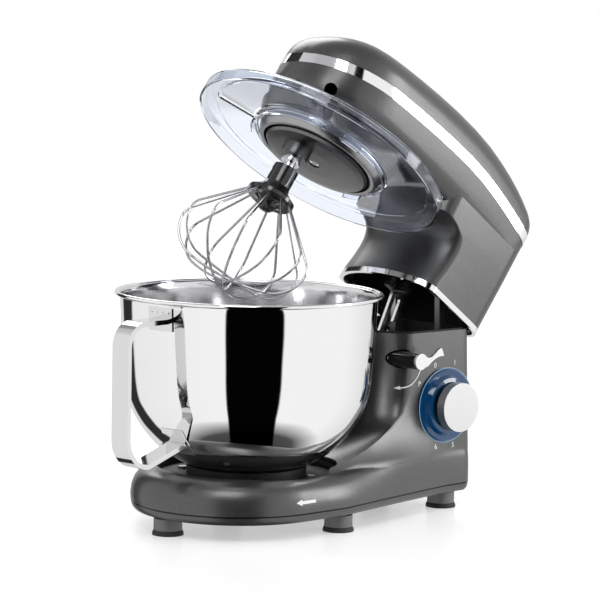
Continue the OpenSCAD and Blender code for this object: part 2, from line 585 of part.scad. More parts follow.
// ---------- splash guard ----------
module guard_cut() rotate([0, 0, 137]) rotate_extrude(angle = 86) translate([64.5, 205]) square([34.5, 30]);
module splash_guard() color([0.75, 0.8, 0.95, 0.35]) at_head() {
  difference() {
    rotate_extrude($fn = 96) polygon([[112.4, 202.4], [114.3, 202.4], [114.3, 212], [112.6, 213.4],
      [102, 213.4], [100.4, 211.6], [64, 209.4], [62, 212.6], [60.2, 212.6], [60.2, 204.6], [62, 204.6],
      [62.6, 207.6], [101.2, 209.9],
      [102.8, 211.6], [112, 211.6], [112.4, 211.2]]);
    guard_cut();
  }
  for (a = [-110, 10, 130]) rotate([0, 0, a]) translate([62.5, -9, 201.8]) cube([1.8, 18, 6.4]);
  rotate([0, 0, -51]) translate([108, -2, 213.35]) cube([4.6, 4, 3.4]);
}
module feed_lid() color([0.75, 0.8, 0.95, 0.35]) at_head() rotate([0, 0, 138])
  rotate_extrude(angle = 84, $fn = 96) polygon([[66.4, 210.3], [99, 212.3], [99, 213.8], [66.4, 211.8]]);

// ---------- planet gear and whisk ----------
module planet_carrier() color([0.28, 0.28, 0.29]) at_head() difference() {
  union() {
    rotate_extrude($fn = 96) polygon([[0, 195.2], [22, 195.6], [40, 197], [46.6, 198.3], [48.6, 200.4],
      [48.6, 207], [46, 207], [45, 203], [14, 203], [14, 208.8], [0, 208.8]]);
    translate([-orbit, 0, 0]) rod(12.4, 186.4, 208.8);
  }
  translate([-orbit, 0, 0]) rod(5.05, 180, 220);
  rod(5.6, 190, 198.6);
  rod(6, 198.4, 220);
}
module carrier_screw() color([0.8, 0.8, 0.8]) at_head() difference() {
  rod(4.6, 196.2, 198.35);
  for (a = [0, 90]) rotate([0, 0, a]) translate([-3, -0.6, 196]) cube([6, 1.2, 1.2]);
}
module main_shaft() color([0.7, 0.7, 0.7]) at_head() rod(6, 198.6, 250);
module main_gear() color([0.86, 0.84, 0.76]) at_head() spur(main_teeth, 236, 246, 6);
module beater_shaft() color([0.85, 0.85, 0.86]) at_beater() {
  rod(5, 160.5, 219);
  tube(8.6, 5, 180.6, 182.6);
  tube(7, 5, 182.6, 186);
}
module cross_pin() color([0.85, 0.85, 0.86]) at_beater() rotate([0, 0, -60]) for (s = [-1, 1])
  translate([s * 5 + (s < 0 ? -6 : 0), 0, 167.5]) rotate([0, 90, 0]) cylinder(r = 1.6, h = 6, $fn = 32);
module planet_pinion() color([0.6, 0.6, 0.6]) at_beater()
  rotate([0, 0, 180]) spur(planet_teeth, 209.5, 217.5, 5);

module whisk_hub() color([0.02, 0.02, 0.02]) at_beater() difference() {
  rotate_extrude($fn = 96) polygon([[0, 131.4], [5, 132.4], [8.2, 135.4], [9.6, 139.4], [13, 141.2], [19.4, 141],
    [21.6, 143], [21.4, 146.4], [17, 149.6], [12.6, 153.4], [11.2, 157.4], [11.2, 174], [0, 174]]);
  rod(5.1, 160.4, 180);
  rotate([0, 0, -60]) for (s = [0, 180]) rotate([0, 0, s]) {
    translate([4, -1.8, 165.8]) cube([9, 3.6, 3.5]);
    rotate_extrude(angle = 30) translate([4, 165.8]) square([9, 3.5]);
    rotate([0, 0, 30]) translate([4, -1.8, 165.8]) cube([9, 3.6, 12]);
  }
  for (a = [15:30:345]) rotate([0, 0, a])
    translate([whisk_radius - 14 + 14 * cos(43), 0, 96.3 + 14 * sin(43)]) rotate([0, -43, 0])
      cylinder(r = wire_radius + 0.03, h = 54.2, $fn = 32);
}
module bend(x, z, radius, from, sweep) translate([x, 0, z]) rotate([90, 0, 0])
  rotate([0, 0, from + 6 / radius]) rotate_extrude(angle = sweep - 12 / radius, $fn = 96)
    translate([radius, 0]) circle(r = wire_radius, $fn = 32);
module whisk_wires() color([0.8, 0.8, 0.8]) at_beater() for (i = [0:5]) rotate([0, 0, i * 30 + 15]) {
  b = 96.3 - whisk_low - i * 2.3;
  big = (b * b - 116) / (2 * b - 60);
  turn = atan2(b - big, 28);
  bend(0, 96.3 - b + big, big, -180 - turn, 180 + 2 * turn);
  for (s = [0, 180]) rotate([0, 0, s]) {
    translate([whisk_radius - 14 + 14 * cos(43), 0, 96.3 + 14 * sin(43)]) {
      sphere(r = wire_radius + 0.12);
      rotate([0, -43, 0]) rod(wire_radius, 0.1, 53.7);
    }
    bend(whisk_radius - 14, 96.3, 14, 0, 43);
    translate([whisk_radius, 0, 96.3]) sphere(r = wire_radius + 0.12);
    bend(whisk_radius - 30, 96.3, 30, turn, -turn);
    translate([whisk_radius - 30 + 30 * cos(turn), 0, 96.3 + 30 * sin(turn)]) sphere(r = wire_radius + 0.12);
  }
}

// ---------- belt drive ----------
module lay_shaft() color([0.7, 0.7, 0.7]) at_head() translate([lay_x, 0, 0]) {
  rod(4, 226, 272);
  rotate([0, 0, 18]) spur(lay_teeth, 235, 247, 4);
}
module large_pulley() color([0.84, 0.82, 0.74]) at_head() translate([lay_x, 0, 0]) {
  difference() {
    union() {
      rod(pulley_radius, 259, 270);
      rod(pulley_radius + 2, 258, 260);
      rod(pulley_radius + 2, 269.2, 271);
    }
    rod(4, 250, 280);
    for (a = [0:60:300]) rotate([0, 0, a]) translate([22, 0, 250]) cylinder(r = 7.5, h = 30);
  }
}
module rotor_core() color([0.45, 0.4, 0.38]) at_head() translate([motor_x, 0, 0]) difference() {
  union() {
    rod(17.8, 214, 244);
    rod(13, 244, 248);
    rod(13, 212.4, 214);
    rod(10, 206.3, 212.4);
  }
  rod(4, 190, 260);
  for (a = [0:30:330]) rotate([0, 0, a]) translate([16.4, -0.8, 210]) cube([4, 1.6, 40]);
}
module rotor_shaft() color([0.7, 0.7, 0.7]) at_head() translate([motor_x, 0, 0]) rod(4, 202, 273);
module motor_pulley() color([0.65, 0.65, 0.65]) at_head() translate([motor_x, 0, 0]) difference() {
  union() {
    rod(motor_pulley_radius, 259, 270);
    rod(motor_pulley_radius + 2.5, 258, 259.8);
    rod(motor_pulley_radius + 2.5, 269.3, 271);
  }
  rod(4, 250, 280);
}
module cooling_fan() color([0.1, 0.1, 0.1]) at_head() translate([motor_x, 0, 0]) {
  tube(6, 4, 248.2, 251.4);
  tube(22, 5.9, 250.2, 251.4);
  for (a = [0:30:330]) rotate([0, 0, a]) translate([10, -0.6, 248.2]) cube([11.6, 1.2, 2.1]);
}

base_shell();
base_plate();
foot_stems();
suction_feet();
base_screws();
bowl_seat();
column_liner();
hinge_brackets();
hinge_pin();
guide_pin();
lever_spring();
knob_bezel();
speed_switch();
control_board();
cord_gland();
lever_barrel();
lever_cap();
latch_hook();
knob_body();
knob_cap();
bowl_shell();
bowl_foot();
bowl_handle();
handle_plates();
stay_arm();
head_lower_shell();
head_upper_shell();
head_band();
neck_trim();
neck_liner();
hinge_arms();
striker_bar();
stay_pivot();
planet_collar();
gear_housing();
ring_gear();
motor_stator();
motor_coils();
motor_frame();
motor_brushes();
drive_belt();
shell_screws();
splash_guard();
feed_lid();
planet_carrier();
main_shaft();
main_gear();
carrier_screw();
beater_shaft();
cross_pin();
planet_pinion();
whisk_hub();
whisk_wires();
lay_shaft();
large_pulley();
rotor_core();
rotor_shaft();
motor_pulley();
cooling_fan();
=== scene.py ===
"""Looks for the stand mixer: camera, studio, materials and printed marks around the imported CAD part."""
import json
import math

import bmesh
import bpy
from mathutils import Matrix, Vector
from mathutils.bvhtree import BVHTree


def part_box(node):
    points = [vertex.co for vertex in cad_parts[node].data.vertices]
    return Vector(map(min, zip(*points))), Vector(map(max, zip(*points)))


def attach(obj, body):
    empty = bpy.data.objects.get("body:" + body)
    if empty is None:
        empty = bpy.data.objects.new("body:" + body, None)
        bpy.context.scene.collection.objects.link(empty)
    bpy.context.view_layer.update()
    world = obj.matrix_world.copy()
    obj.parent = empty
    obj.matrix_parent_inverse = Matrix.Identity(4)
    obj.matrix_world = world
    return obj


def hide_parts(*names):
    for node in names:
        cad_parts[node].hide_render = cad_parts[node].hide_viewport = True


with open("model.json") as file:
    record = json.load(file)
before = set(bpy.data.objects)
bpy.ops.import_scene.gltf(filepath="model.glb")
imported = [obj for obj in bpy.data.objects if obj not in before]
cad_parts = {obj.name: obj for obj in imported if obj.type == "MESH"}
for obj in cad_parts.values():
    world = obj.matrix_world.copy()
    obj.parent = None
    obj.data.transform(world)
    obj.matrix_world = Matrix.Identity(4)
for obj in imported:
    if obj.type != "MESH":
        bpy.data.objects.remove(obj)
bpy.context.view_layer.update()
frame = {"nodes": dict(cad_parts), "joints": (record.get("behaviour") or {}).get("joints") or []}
nodes = frame["nodes"]
joints = {j["name"]: j for j in frame["joints"]}
MM = 0.001


# ---------- camera ----------
def make_camera(azimuth, elevation, roll, distance, lens, target):
    a, e, r = (math.radians(v) for v in (azimuth, elevation, roll))
    back = Vector((math.sin(a) * math.cos(e), -math.cos(a) * math.cos(e), math.sin(e)))
    flat = Vector((math.cos(a), math.sin(a), 0))
    rise = back.cross(flat)
    right = flat * math.cos(r) + rise * math.sin(r)
    up = rise * math.cos(r) - flat * math.sin(r)
    data = bpy.data.cameras.new("camera")
    data.lens, data.sensor_width = lens, 36
    data.clip_start, data.clip_end = 0.05, 60
    cam = bpy.data.objects.new("camera", data)
    turn = Matrix((right, up, back)).transposed().to_4x4()
    cam.matrix_world = Matrix.Translation(target + back * distance) @ turn
    bpy.context.scene.collection.objects.link(cam)
    bpy.context.scene.camera = cam
    return back


LOOK = make_camera(-41.99, 6.10, 1.10, 2.3317, 163.37, Vector((-0.01367, -0.00348, 0.18796)))


# ---------- node helpers ----------
class Graph:
    """A material's or world's node tree with short calls for the nodes used here."""

    def __init__(self, owner):
        self.tree = owner.node_tree
        self.tree.nodes.clear()

    def node(self, kind, **values):
        n = self.tree.nodes.new(kind)
        for key, value in values.items():
            if hasattr(n, key):
                setattr(n, key, value)
            else:
                n.inputs[key.replace("_", " ")].default_value = value
        return n

    def link(self, a, b):
        self.tree.links.new(a, b)

    def coords(self, scale=(1, 1, 1), rotation=(0, 0, 0)):
        t = self.node("ShaderNodeTexCoord")
        m = self.node("ShaderNodeMapping", Scale=scale, Rotation=rotation)
        self.link(t.outputs["Object"], m.inputs["Vector"])
        return m.outputs["Vector"]

    def noise(self, scale, detail=2.0, rough=0.5, stretch=(1, 1, 1), rotation=(0, 0, 0)):
        n = self.node("ShaderNodeTexNoise", Scale=scale, Detail=detail, Roughness=rough)
        self.link(self.coords(stretch, rotation), n.inputs["Vector"])
        return n.outputs["Fac"]

    def ramp(self, fac, *stops):
        """Colour ramp through (position, colour or grey) stops."""
        n = self.node("ShaderNodeValToRGB")
        e = n.color_ramp.elements
        while len(e) < len(stops):
            e.new(0.5)
        for el, (pos, col) in zip(e, stops):
            el.position = pos
            el.color = (*col, 1) if isinstance(col, tuple) else (col, col, col, 1)
        self.link(fac, n.inputs["Fac"])
        return n.outputs["Color"]

    def span(self, fac, low, high):
        """fac in 0..1 carried to low..high."""
        n = self.node("ShaderNodeMapRange")
        n.inputs["To Min"].default_value, n.inputs["To Max"].default_value = low, high
        self.link(fac, n.inputs["Value"])
        return n.outputs["Result"]

    def bump(self, height, strength, distance):
        n = self.node("ShaderNodeBump", Strength=strength, Distance=distance)
        self.link(height, n.inputs["Height"])
        return n.outputs["Normal"]


MATERIALS = {}


def principled(name, color, **sockets):
    """A material with one Principled shader. Returns (material, graph, shader)."""
    mat = bpy.data.materials.new(name)
    mat.use_nodes = True
    g = Graph(mat)
    shader = g.node("ShaderNodeBsdfPrincipled")
    out = g.node("ShaderNodeOutputMaterial")
    g.link(shader.outputs["BSDF"], out.inputs["Surface"])
    shader.inputs["Base Color"].default_value = (*color, 1)
    for key, value in sockets.items():
        shader.inputs[key.replace("_", " ")].default_value = value
    MATERIALS[name] = mat
    return mat, g, shader


def plastic(name, color, rough, grain=900, bump=0.06, **sockets):
    """Moulded plastic: fine moulded grain, and a roughness that varies a little."""
    mat, g, s = principled(name, color, **sockets)
    g.link(g.span(g.noise(70, 4), rough * 0.85, rough * 1.2), s.inputs["Roughness"])
    g.link(g.bump(g.noise(grain, 3), bump, 0.0004), s.inputs["Normal"])
    return mat


def metal(name, color, rough, stretch=(1, 1, 1), scale=900, depth=0.12, change=0.35, **sockets):
    """Metal with a brushed or ground finish along the axis that stretch makes long."""
    mat, g, s = principled(name, color, Metallic=1.0, **sockets)
    lines = g.noise(scale, 4, 0.6, stretch)
    g.link(g.span(lines, rough * (1 - change), rough * (1 + change)), s.inputs["Roughness"])
    g.link(g.ramp(lines, (0.3, tuple(c * 0.9 for c in color)), (0.7, color)), s.inputs["Base Color"])
    g.link(g.bump(lines, depth, 0.0002), s.inputs["Normal"])
    return mat


def mirror_metal(name, color, rough=0.035):
    """Polished steel: near mirror with faint polishing haze."""
    mat, g, s = principled(name, color, Metallic=1.0)
    haze = g.noise(18, 5, 0.6)
    fine = g.noise(2500, 2, 0.5, (1, 1, 0.12))
    g.link(g.span(haze, rough * 0.6, rough * 1.6), s.inputs["Roughness"])
    g.link(g.bump(fine, 0.015, 0.0001), s.inputs["Normal"])
    return mat


def flake_paint(name, color, rough, gap_shade=None):
    """Dark metallic paint: tiny bright flakes under a satin coat with faint orange peel.

    gap_shade: (z, height above z that stays light) paints shade onto the edge beside a parting line: a
    near-black painted shade standing in for the shaded gap between the parts."""
    mat, g, s = principled(name, color, Metallic=0.75, Coat_Weight=0.35, Coat_Roughness=0.22, Coat_IOR=1.5)
    flakes = g.node("ShaderNodeTexVoronoi", Scale=3600.0)
    g.link(g.coords(), flakes.inputs["Vector"])
    dark, light = tuple(c * 0.78 for c in color), tuple(min(1, c * 1.5) for c in color)
    tone = g.ramp(flakes.outputs["Color"], (0.25, dark), (0.6, color), (0.95, light))
    # Painted shade: a near-black band beside the parting line stands in for the shade in the gap there.
    if gap_shade:
        place = g.node("ShaderNodeSeparateXYZ")
        g.link(g.coords(), place.inputs["Vector"])
        edge = g.node("ShaderNodeMapRange")
        edge.inputs["From Min"].default_value, edge.inputs["From Max"].default_value = gap_shade
        g.link(place.outputs["Z"], edge.inputs["Value"])
        line = g.node("ShaderNodeMix", data_type="RGBA")
        g.link(edge.outputs["Result"], line.inputs["Factor"])
        line.inputs["A"].default_value = (0.004, 0.004, 0.004, 1)
        g.link(tone, line.inputs["B"])
        tone = line.outputs["Result"]
    g.link(tone, s.inputs["Base Color"])
    g.link(g.span(g.noise(45, 3), rough * 0.92, rough * 1.1), s.inputs["Roughness"])
    g.link(g.bump(g.noise(1100, 3), 0.05, 0.0003), s.inputs["Normal"])
    return mat


def clear_plastic(name, color, rough=0.03, **sockets):
    mat, g, s = principled(name, color, Transmission_Weight=1.0, IOR=1.35, **sockets)
    g.link(g.span(g.noise(30, 3), rough * 0.5, rough * 1.8), s.inputs["Roughness"])
    return mat


def printed(name, color):
    mat, g, s = principled(name, color)
    g.link(g.span(g.noise(2500, 2), 0.35, 0.55), s.inputs["Roughness"])
    return mat


# ---------- materials ----------
flake_paint("paint", (0.09, 0.09, 0.092), 0.34)
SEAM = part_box("base_shell")[0][2]
# Base shell and base plate each get a painted shade band beside the parting line between them.
flake_paint("paint_base", (0.1, 0.1, 0.102), 0.34, (SEAM + 0.35 * MM, SEAM + 0.55 * MM))
flake_paint("paint_plate", (0.1, 0.1, 0.102), 0.32, (SEAM - 0.75 * MM, SEAM - 0.95 * MM))
mirror_metal("handle_steel", (0.78, 0.78, 0.785), 0.07)
mirror_metal("mirror_steel", (0.93, 0.93, 0.935))
metal("brushed_inside", (0.8, 0.8, 0.81), 0.11, (0.5, 0.5, 40), 160, 0.02)
mirror_metal("silver_trim", (0.9, 0.9, 0.91), 0.06)
metal("satin_cap", (0.61, 0.61, 0.614), 0.45, (1, 1, 8), 500, 0.03)
metal("brushed_collar", (0.42, 0.42, 0.43), 0.3, (0.3, 0.3, 6), 700, 0.05)
metal("carrier_metal", (0.2, 0.2, 0.205), 0.34, (1, 1, 1), 1400, 0.05)
metal("ground_steel", (0.66, 0.66, 0.67), 0.25, (6, 0.4, 6), 900, 0.05)
metal("pressed_steel", (0.5, 0.5, 0.51), 0.4, (1, 1, 1), 600, 0.06)
metal("plated_arm", (0.82, 0.82, 0.83), 0.18, (1, 1, 1), 500, 0.03)
metal("black_steel", (0.05, 0.05, 0.05), 0.4, (1, 1, 1), 800, 0.08)
metal("wire_steel", (0.6, 0.6, 0.61), 0.12, (1, 1, 0.2), 1200, 0.03)
metal("cast_alloy", (0.55, 0.55, 0.56), 0.5, (1, 1, 1), 420, 0.2)
metal("zinc_steel", (0.7, 0.7, 0.68), 0.3, (1, 1, 1), 900, 0.06)
metal("sintered_steel", (0.45, 0.44, 0.43), 0.45, (1, 1, 1), 1800, 0.15)
metal("copper_wire", (0.72, 0.33, 0.14), 0.3, (1, 1, 14), 260, 0.5)
metal("steel_stack", (0.36, 0.36, 0.37), 0.42, (0.05, 0.05, 12), 220, 0.5)
plastic("gloss_black", (0.012, 0.012, 0.012), 0.12, 1500, 0.01, Coat_Weight=0.5, Coat_Roughness=0.05)
plastic("matte_black", (0.016, 0.016, 0.016), 0.5)
plastic("inner_black", (0.006, 0.006, 0.006), 0.6)
plastic("rubber_black", (0.018, 0.018, 0.018), 0.62, 1600, 0.12)
plastic("stem_grey", (0.13, 0.13, 0.133), 0.42)
plastic("nylon", (0.78, 0.75, 0.66), 0.42, 700, 0.04)
plastic("board_green", (0.03, 0.13, 0.05), 0.35, 1200, 0.1)
plastic("bezel_blue", (0.002, 0.05, 0.15), 0.1, 1500, 0.01, Coat_Weight=0.7, Coat_Roughness=0.03)
# Painted highlight: light blue for the bead that stands in for the bright line on the dial ring's rim.
plastic("bezel_rim_highlight", (0.35, 0.55, 0.72), 0.15, 1500, 0.01, Coat_Weight=1.0, Coat_Roughness=0.03)
clear_plastic("clear_guard", (0.86, 0.9, 0.98))
printed("print_white", (0.82, 0.82, 0.82))

FINISH = {
    "paint": ["head_lower_shell", "head_upper_shell"],
    "paint_base": ["base_shell"],
    "paint_plate": ["base_plate"],
    "handle_steel": ["bowl_handle", "handle_plates"],
    "silver_trim": ["head_band", "neck_trim"],
    "satin_cap": ["knob_cap", "lever_cap"],
    "brushed_collar": ["planet_collar"],
    "carrier_metal": ["planet_carrier"],
    "ground_steel": ["hinge_pin", "guide_pin", "main_shaft", "lay_shaft", "rotor_shaft", "bowl_foot",
                     "stay_pivot"],
    "pressed_steel": ["hinge_brackets", "hinge_arms"],
    "plated_arm": ["stay_arm", "beater_shaft", "cross_pin", "carrier_screw", "lever_spring"],
    "black_steel": ["latch_hook", "striker_bar"],
    "wire_steel": ["whisk_wires"],
    "cast_alloy": ["gear_housing", "motor_frame"],
    "zinc_steel": ["base_screws", "shell_screws"],
    "sintered_steel": ["planet_pinion", "motor_pulley"],
    "copper_wire": ["motor_coils"],
    "steel_stack": ["motor_stator", "rotor_core"],
    "gloss_black": ["whisk_hub", "knob_body", "lever_barrel"],
    "matte_black": ["bowl_seat", "speed_switch", "motor_brushes", "cooling_fan"],
    "inner_black": ["column_liner", "neck_liner"],
    "rubber_black": ["suction_feet", "cord_gland", "drive_belt"],
    "stem_grey": ["foot_stems"],
    "nylon": ["ring_gear", "main_gear", "large_pulley"],
    "board_green": ["control_board"],
    "bezel_blue": ["knob_bezel"],
    "clear_guard": ["splash_guard", "feed_lid"],
}
SMOOTH_DEG = {"base_shell": 40, "head_lower_shell": 38, "head_upper_shell": 50, "base_plate": 32}


def smooth_group():
    """Geometry nodes: shade smooth, with edges sharper than the angle kept sharp."""
    tree = bpy.data.node_groups.new("smooth_by_angle", "GeometryNodeTree")
    tree.interface.new_socket("Geometry", in_out="INPUT", socket_type="NodeSocketGeometry")
    tree.interface.new_socket("Angle", in_out="INPUT", socket_type="NodeSocketFloat")
    tree.interface.new_socket("Geometry", in_out="OUTPUT", socket_type="NodeSocketGeometry")
    new, link = tree.nodes.new, tree.links.new
    gin, gout = new("NodeGroupInput"), new("NodeGroupOutput")
    angle, flat = new("GeometryNodeInputMeshEdgeAngle"), new("FunctionNodeCompare")
    flat.operation = "LESS_EQUAL"
    faces, edges = new("GeometryNodeSetShadeSmooth"), new("GeometryNodeSetShadeSmooth")
    faces.domain, edges.domain = "FACE", "EDGE"
    link(angle.outputs["Unsigned Angle"], flat.inputs[0])
    link(gin.outputs["Angle"], flat.inputs[1])
    link(gin.outputs["Geometry"], faces.inputs["Geometry"])
    link(faces.outputs["Geometry"], edges.inputs["Geometry"])
    link(flat.outputs["Result"], edges.inputs["Shade Smooth"])
    link(edges.outputs["Geometry"], gout.inputs["Geometry"])
    return tree


SMOOTH = smooth_group()


def soften(obj, degrees=30):
    weld = obj.modifiers.new("weld", "WELD")
    weld.merge_threshold = 2e-6
    smooth = obj.modifiers.new("smooth", "NODES")
    smooth.node_group = SMOOTH
    key = next(s.identifier for s in SMOOTH.interface.items_tree if s.name == "Angle")
    smooth[key] = math.radians(degrees)
    normal = obj.modifiers.new("normals", "WEIGHTED_NORMAL")
    normal.keep_sharp = True


BEVEL_MM = {"bowl_handle": 1.5, "knob_cap": 0.5, "lever_cap": 0.4, "knob_body": 0.4, "foot_stems": 0.3}
for finish, names in FINISH.items():
    for name in names:
        node = nodes[name]
        node.data.materials.clear()
        node.data.materials.append(MATERIALS[finish])
        if name in BEVEL_MM:
            merge = node.modifiers.new("merge", "WELD")
            merge.merge_threshold = 2e-6
            edge = node.modifiers.new("edge", "BEVEL")
            edge.width, edge.segments, edge.angle_limit = BEVEL_MM[name] * MM, 3, math.radians(50)
        soften(node, SMOOTH_DEG.get(name, 30))


# ---------- the bowl, as one smooth turned form ----------
# Outer side of the wall from the flat bottom to the rim: radius and height above the bowl's underside, mm.
WALL_POINTS = [(38, 0), (46, 0), (52, 1.6), (60, 5.2), (68, 9.8), (76, 16.2), (84, 24.6), (91, 33.7),
               (96, 42.2), (100, 51.2), (102.6, 60.2), (104.5, 73.2), (106, 91.2), (107.4, 111.2),
               (109, 141.2), (110.6, 144.7)]
BOWL_SHEET = 1.0
RIM_ROLL = 1.9


def cubic(p, q, r, u, t):
    """The cubic that leaves q for r as t goes from 0 to 1, with p and u as the points on either side."""
    square = (2 * p - 5 * q + 4 * r - u) * t * t
    cube = (3 * q - p - 3 * r + u) * t ** 3
    return 0.5 * (2 * q + (r - p) * t + square + cube)


def spline(points, steps):
    """Smooth curve through the points (cubic, even knots)."""
    out = []
    ends = [points[0]] + points + [points[-1]]
    for a, b, c, d in zip(ends, ends[1:], ends[2:], ends[3:]):
        for i in range(steps):
            t = i / steps
            out.append(tuple(cubic(p, q, r, u, t) for p, q, r, u in zip(a, b, c, d)))
    return out + [points[-1]]


def drawn_in(line, distance):
    """The line moved to its left by a distance."""
    out = []
    for i, (r, z) in enumerate(line):
        (ar, az), (br, bz) = line[max(i - 1, 0)], line[min(i + 1, len(line) - 1)]
        size = math.hypot(br - ar, bz - az)
        out.append((r - (bz - az) / size * distance, z + (br - ar) / size * distance))
    return out


def turned_bowl():
    low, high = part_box("bowl_shell")
    x, z0 = joints["bowl_twist"]["pos_m"][0], low[2]
    outer = spline(WALL_POINTS, 8)
    inner = drawn_in(outer, BOWL_SHEET)
    roll_r, roll_z = (high[0] - low[0]) / 2 / MM - RIM_ROLL, (high[2] - z0) / MM - RIM_ROLL
    roll = [(roll_r + RIM_ROLL * math.cos(math.radians(a)), roll_z + RIM_ROLL * math.sin(math.radians(a)))
            for a in range(-120, 181, 15)]
    line = [(0, 0)] + outer + roll + inner[::-1] + [(0, BOWL_SHEET)]
    split = len(outer) + len(roll)
    around = 144
    bm = bmesh.new()
    rings = []
    for r, z in line:
        if r == 0:
            rings.append([bm.verts.new((x, 0, z0 + z * MM))] * around)
            continue
        turns = (2 * math.pi * i / around for i in range(around))
        rings.append([bm.verts.new((x + r * MM * math.cos(a), r * MM * math.sin(a), z0 + z * MM))
                      for a in turns])
    for j, (a, b) in enumerate(zip(rings, rings[1:])):
        for i in range(around):
            k = (i + 1) % around
            corners = list(dict.fromkeys((a[i], a[k], b[k], b[i])))
            face = bm.faces.new(corners)
            face.material_index = 1 if j > split else 0
    bmesh.ops.recalc_face_normals(bm, faces=bm.faces[:])
    mesh = bpy.data.meshes.new("bowl")
    bm.to_mesh(mesh)
    bm.free()
    obj = bpy.data.objects.new("bowl", mesh)
    bpy.context.scene.collection.objects.link(obj)
    mesh.materials.append(MATERIALS["mirror_steel"])
    mesh.materials.append(MATERIALS["brushed_inside"])
    soften(obj, 50)
    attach(obj, "bowl")
    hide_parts("bowl_shell")


turned_bowl()


# ---------- painted highlight: light bead along the dial's ring edge ---
def bezel_highlight_bead():
    """A thin bead on the ring's outer edge, beside the base shell, light blue as a painted highlight along
    the rim.
    """
    low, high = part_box("knob_bezel")
    radius, bead = (high[0] - low[0]) / 2 - 0.35 * MM, 0.34 * MM
    bm = bmesh.new()
    around, cross = 120, 10
    rows = []
    for i in range(around):
        a = 2 * math.pi * i / around
        ring = []
        for j in range(cross):
            b = 2 * math.pi * j / cross
            r = radius + bead * math.cos(b)
            ring.append(bm.verts.new(((low[0] + high[0]) / 2 + r * math.cos(a),
                                      high[1] - 1.5 * MM + bead * math.sin(b),
                                      (low[2] + high[2]) / 2 + r * math.sin(a))))
        rows.append(ring)
    for i in range(around):
        for j in range(cross):
            k, m = (i + 1) % around, (j + 1) % cross
            bm.faces.new([rows[i][j], rows[k][j], rows[k][m], rows[i][m]])
    bmesh.ops.recalc_face_normals(bm, faces=bm.faces[:])
    mesh = bpy.data.meshes.new("bezel_highlight_bead")
    bm.to_mesh(mesh)
    bm.free()
    obj = bpy.data.objects.new("bezel_highlight_bead", mesh)
    bpy.context.scene.collection.objects.link(obj)
    # Painted highlight: the bead's light blue stands in for the bright line along the ring's rim.
    mesh.materials.append(MATERIALS["bezel_rim_highlight"])
    soften(obj)
    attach(obj, "base")


bezel_highlight_bead()


# ---------- printed marks ----------
def joined_text(words, name):
    """Flat letters as one mesh. words: (text, centre x, centre z, height) in metres, on a plane facing -Y."""
    verts, faces = [], []
    for text, x, z, height in words:
        curve = bpy.data.curves.new(name, "FONT")
        curve.body, curve.size, curve.resolution_u = text, height * 1.4, 3
        curve.align_x, curve.align_y = "CENTER", "CENTER"
        obj = bpy.data.objects.new(name, curve)
        mesh = bpy.data.meshes.new_from_object(obj)
        start = len(verts)
        verts += [(x + v.co.x, z + v.co.y) for v in mesh.vertices]
        faces += [[start + i for i in f.vertices] for f in mesh.polygons]
        bpy.data.objects.remove(obj)
        bpy.data.meshes.remove(mesh)
    return verts, faces


def arc_arrow(points, width, head):
    """A band along (x, z) points with an arrow head at its last point."""
    verts, faces = [], []
    for i, (x, z) in enumerate(points):
        (ax, az), (bx, bz) = points[max(i - 1, 0)], points[min(i + 1, len(points) - 1)]
        dx, dz = bx - ax, bz - az
        size = math.hypot(dx, dz)
        nx, nz = -dz / size * width / 2, dx / size * width / 2
        verts += [(x + nx, z + nz), (x - nx, z - nz)]
        if i:
            faces.append([2 * i - 2, 2 * i - 1, 2 * i + 1, 2 * i])
    k = head / width
    start = len(verts)
    tip = (x + dx / size * head * 1.1, z + dz / size * head * 1.1)
    verts += [(x + nx * k, z + nz * k), (x - nx * k, z - nz * k), tip]
    faces.append([start, start + 1, start + 2])
    return verts, faces


def print_on(name, node, body, outline, lift=0.12 * MM):
    """Lays flat (x, z) shapes onto a node's -Y side, a hair proud of it and cut fine enough to follow it."""
    verts, faces = outline
    bm = bmesh.new()
    made = [bm.verts.new((x, 0, z)) for x, z in verts]
    for f in faces:
        if len(set(f)) > 2:
            bm.faces.new([made[i] for i in f])
    bmesh.ops.triangulate(bm, faces=bm.faces[:])
    long_edges = [e for e in bm.edges if e.calc_length() > 3 * MM]
    bmesh.ops.subdivide_edges(bm, edges=long_edges, cuts=2, use_grid_fill=True)
    surface = BVHTree.FromPolygons([v.co[:] for v in nodes[node].data.vertices],
                                   [f.vertices[:] for f in nodes[node].data.polygons])
    for v in bm.verts:
        hit, normal, _, _ = surface.ray_cast(Vector((v.co.x, -0.3, v.co.z)), Vector((0, 1, 0)))
        v.co = hit + normal * lift
    bmesh.ops.recalc_face_normals(bm, faces=bm.faces[:])
    if sum(f.normal.y for f in bm.faces) > 0:
        bmesh.ops.reverse_faces(bm, faces=bm.faces[:])
    mesh = bpy.data.meshes.new(name)
    bm.to_mesh(mesh)
    bm.free()
    obj = bpy.data.objects.new(name, mesh)
    bpy.context.scene.collection.objects.link(obj)
    mesh.materials.append(MATERIALS["print_white"])
    sheet = obj.modifiers.new("ink", "SOLIDIFY")
    sheet.thickness, sheet.offset = 0.1 * MM, 1
    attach(obj, body)


def joint_xz(name):
    x, _, z = joints[name]["pos_m"]
    return x, z


def along_arc(x, z, radius, start, end, steps=16):
    turns = (math.radians(start + (end - start) * i / steps) for i in range(steps + 1))
    return [(x + radius * math.cos(a), z + radius * math.sin(a)) for a in turns]


def dial_words():
    x, z = joint_xz("speed_knob")
    low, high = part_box("knob_bezel")
    radius = (high[0] - low[0]) / 2 + 5 * MM
    places = [("P", 147), ("0", 110), ("1", 73.3), ("2", 36.7), ("4", -36.7), ("5", -73.3), ("6", -110)]
    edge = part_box("base_shell")[1][0] - 9 * MM
    spots = [(t, x + radius * math.cos(math.radians(a)), z + radius * math.sin(math.radians(a)), 4.6 * MM)
             for t, a in places]
    return [s for s in spots if s[1] < edge - 6 * MM]


